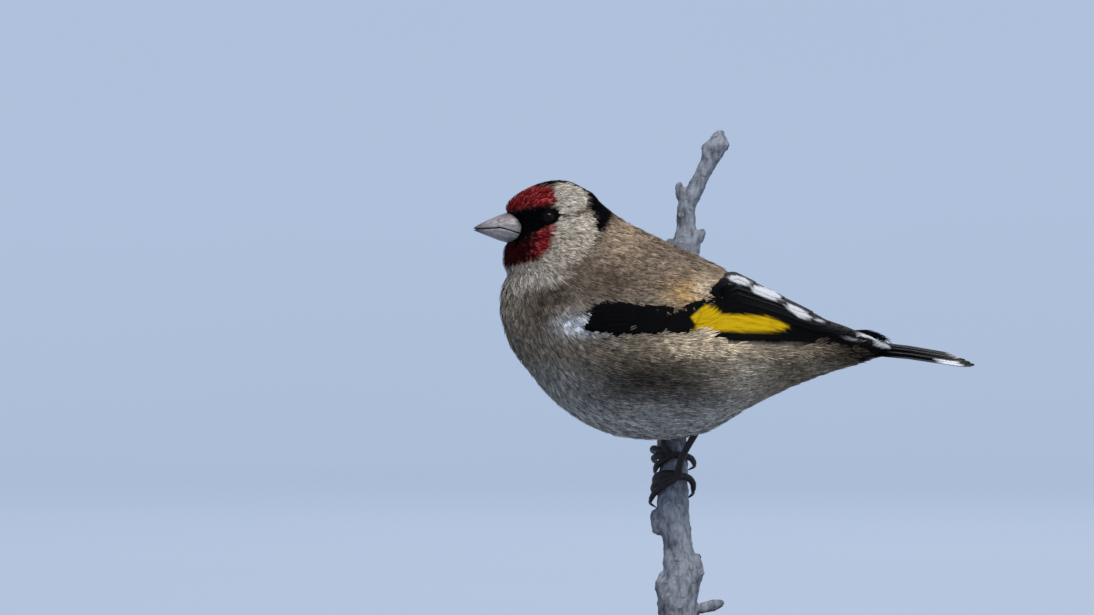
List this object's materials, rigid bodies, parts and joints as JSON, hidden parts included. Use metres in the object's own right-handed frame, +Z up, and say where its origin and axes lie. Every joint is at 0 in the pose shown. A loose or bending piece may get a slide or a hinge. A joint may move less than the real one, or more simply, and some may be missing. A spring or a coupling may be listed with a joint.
{
  "type": "goldfinch display model",
  "caption": "Life-size European goldfinch with folded wings, gripping an upright knobby twig, on a round wooden display base.",
  "frame": {"origin": "centre of the stand's flat underside", "axes": "+Z up, the bird faces -X, its left side is -Y"},
  "size_m": [0.118, 0.084, 0.1373],
  "materials": {
    "head_feathers": "matte",
    "body_feathers": "matte",
    "wing_feathers": "satin",
    "tail_feathers": "satin",
    "bill": "satin",
    "eyes": "gloss",
    "lids": "matte",
    "legs": "satin",
    "claws": "satin",
    "bark": "rough",
    "stand_steel": "satin",
    "stand_wood": "satin"
  },
  "bodies": {
    "root": {"head": "head_feathers", "neck": "body_feathers", "torso": "body_feathers", "rump": "body_feathers", "tail": "tail_feathers", "wing_left": "wing_feathers", "wing_right": "wing_feathers", "bill_upper": "bill", "bill_lower": "bill", "eye_left": "eyes", "eye_right": "eyes", "lid_left": "lids", "lid_right": "lids", "leg_left": "legs", "leg_right": "legs", "claw_left_inner": "claws", "claw_left_middle": "claws", "claw_left_outer": "claws", "claw_left_hind": "claws", "claw_right_inner": "claws", "claw_right_middle": "claws", "claw_right_outer": "claws", "claw_right_hind": "claws", "twig": "bark", "stand_rod": "stand_steel", "stand_base": "stand_wood"}
  },
  "joints": []
}
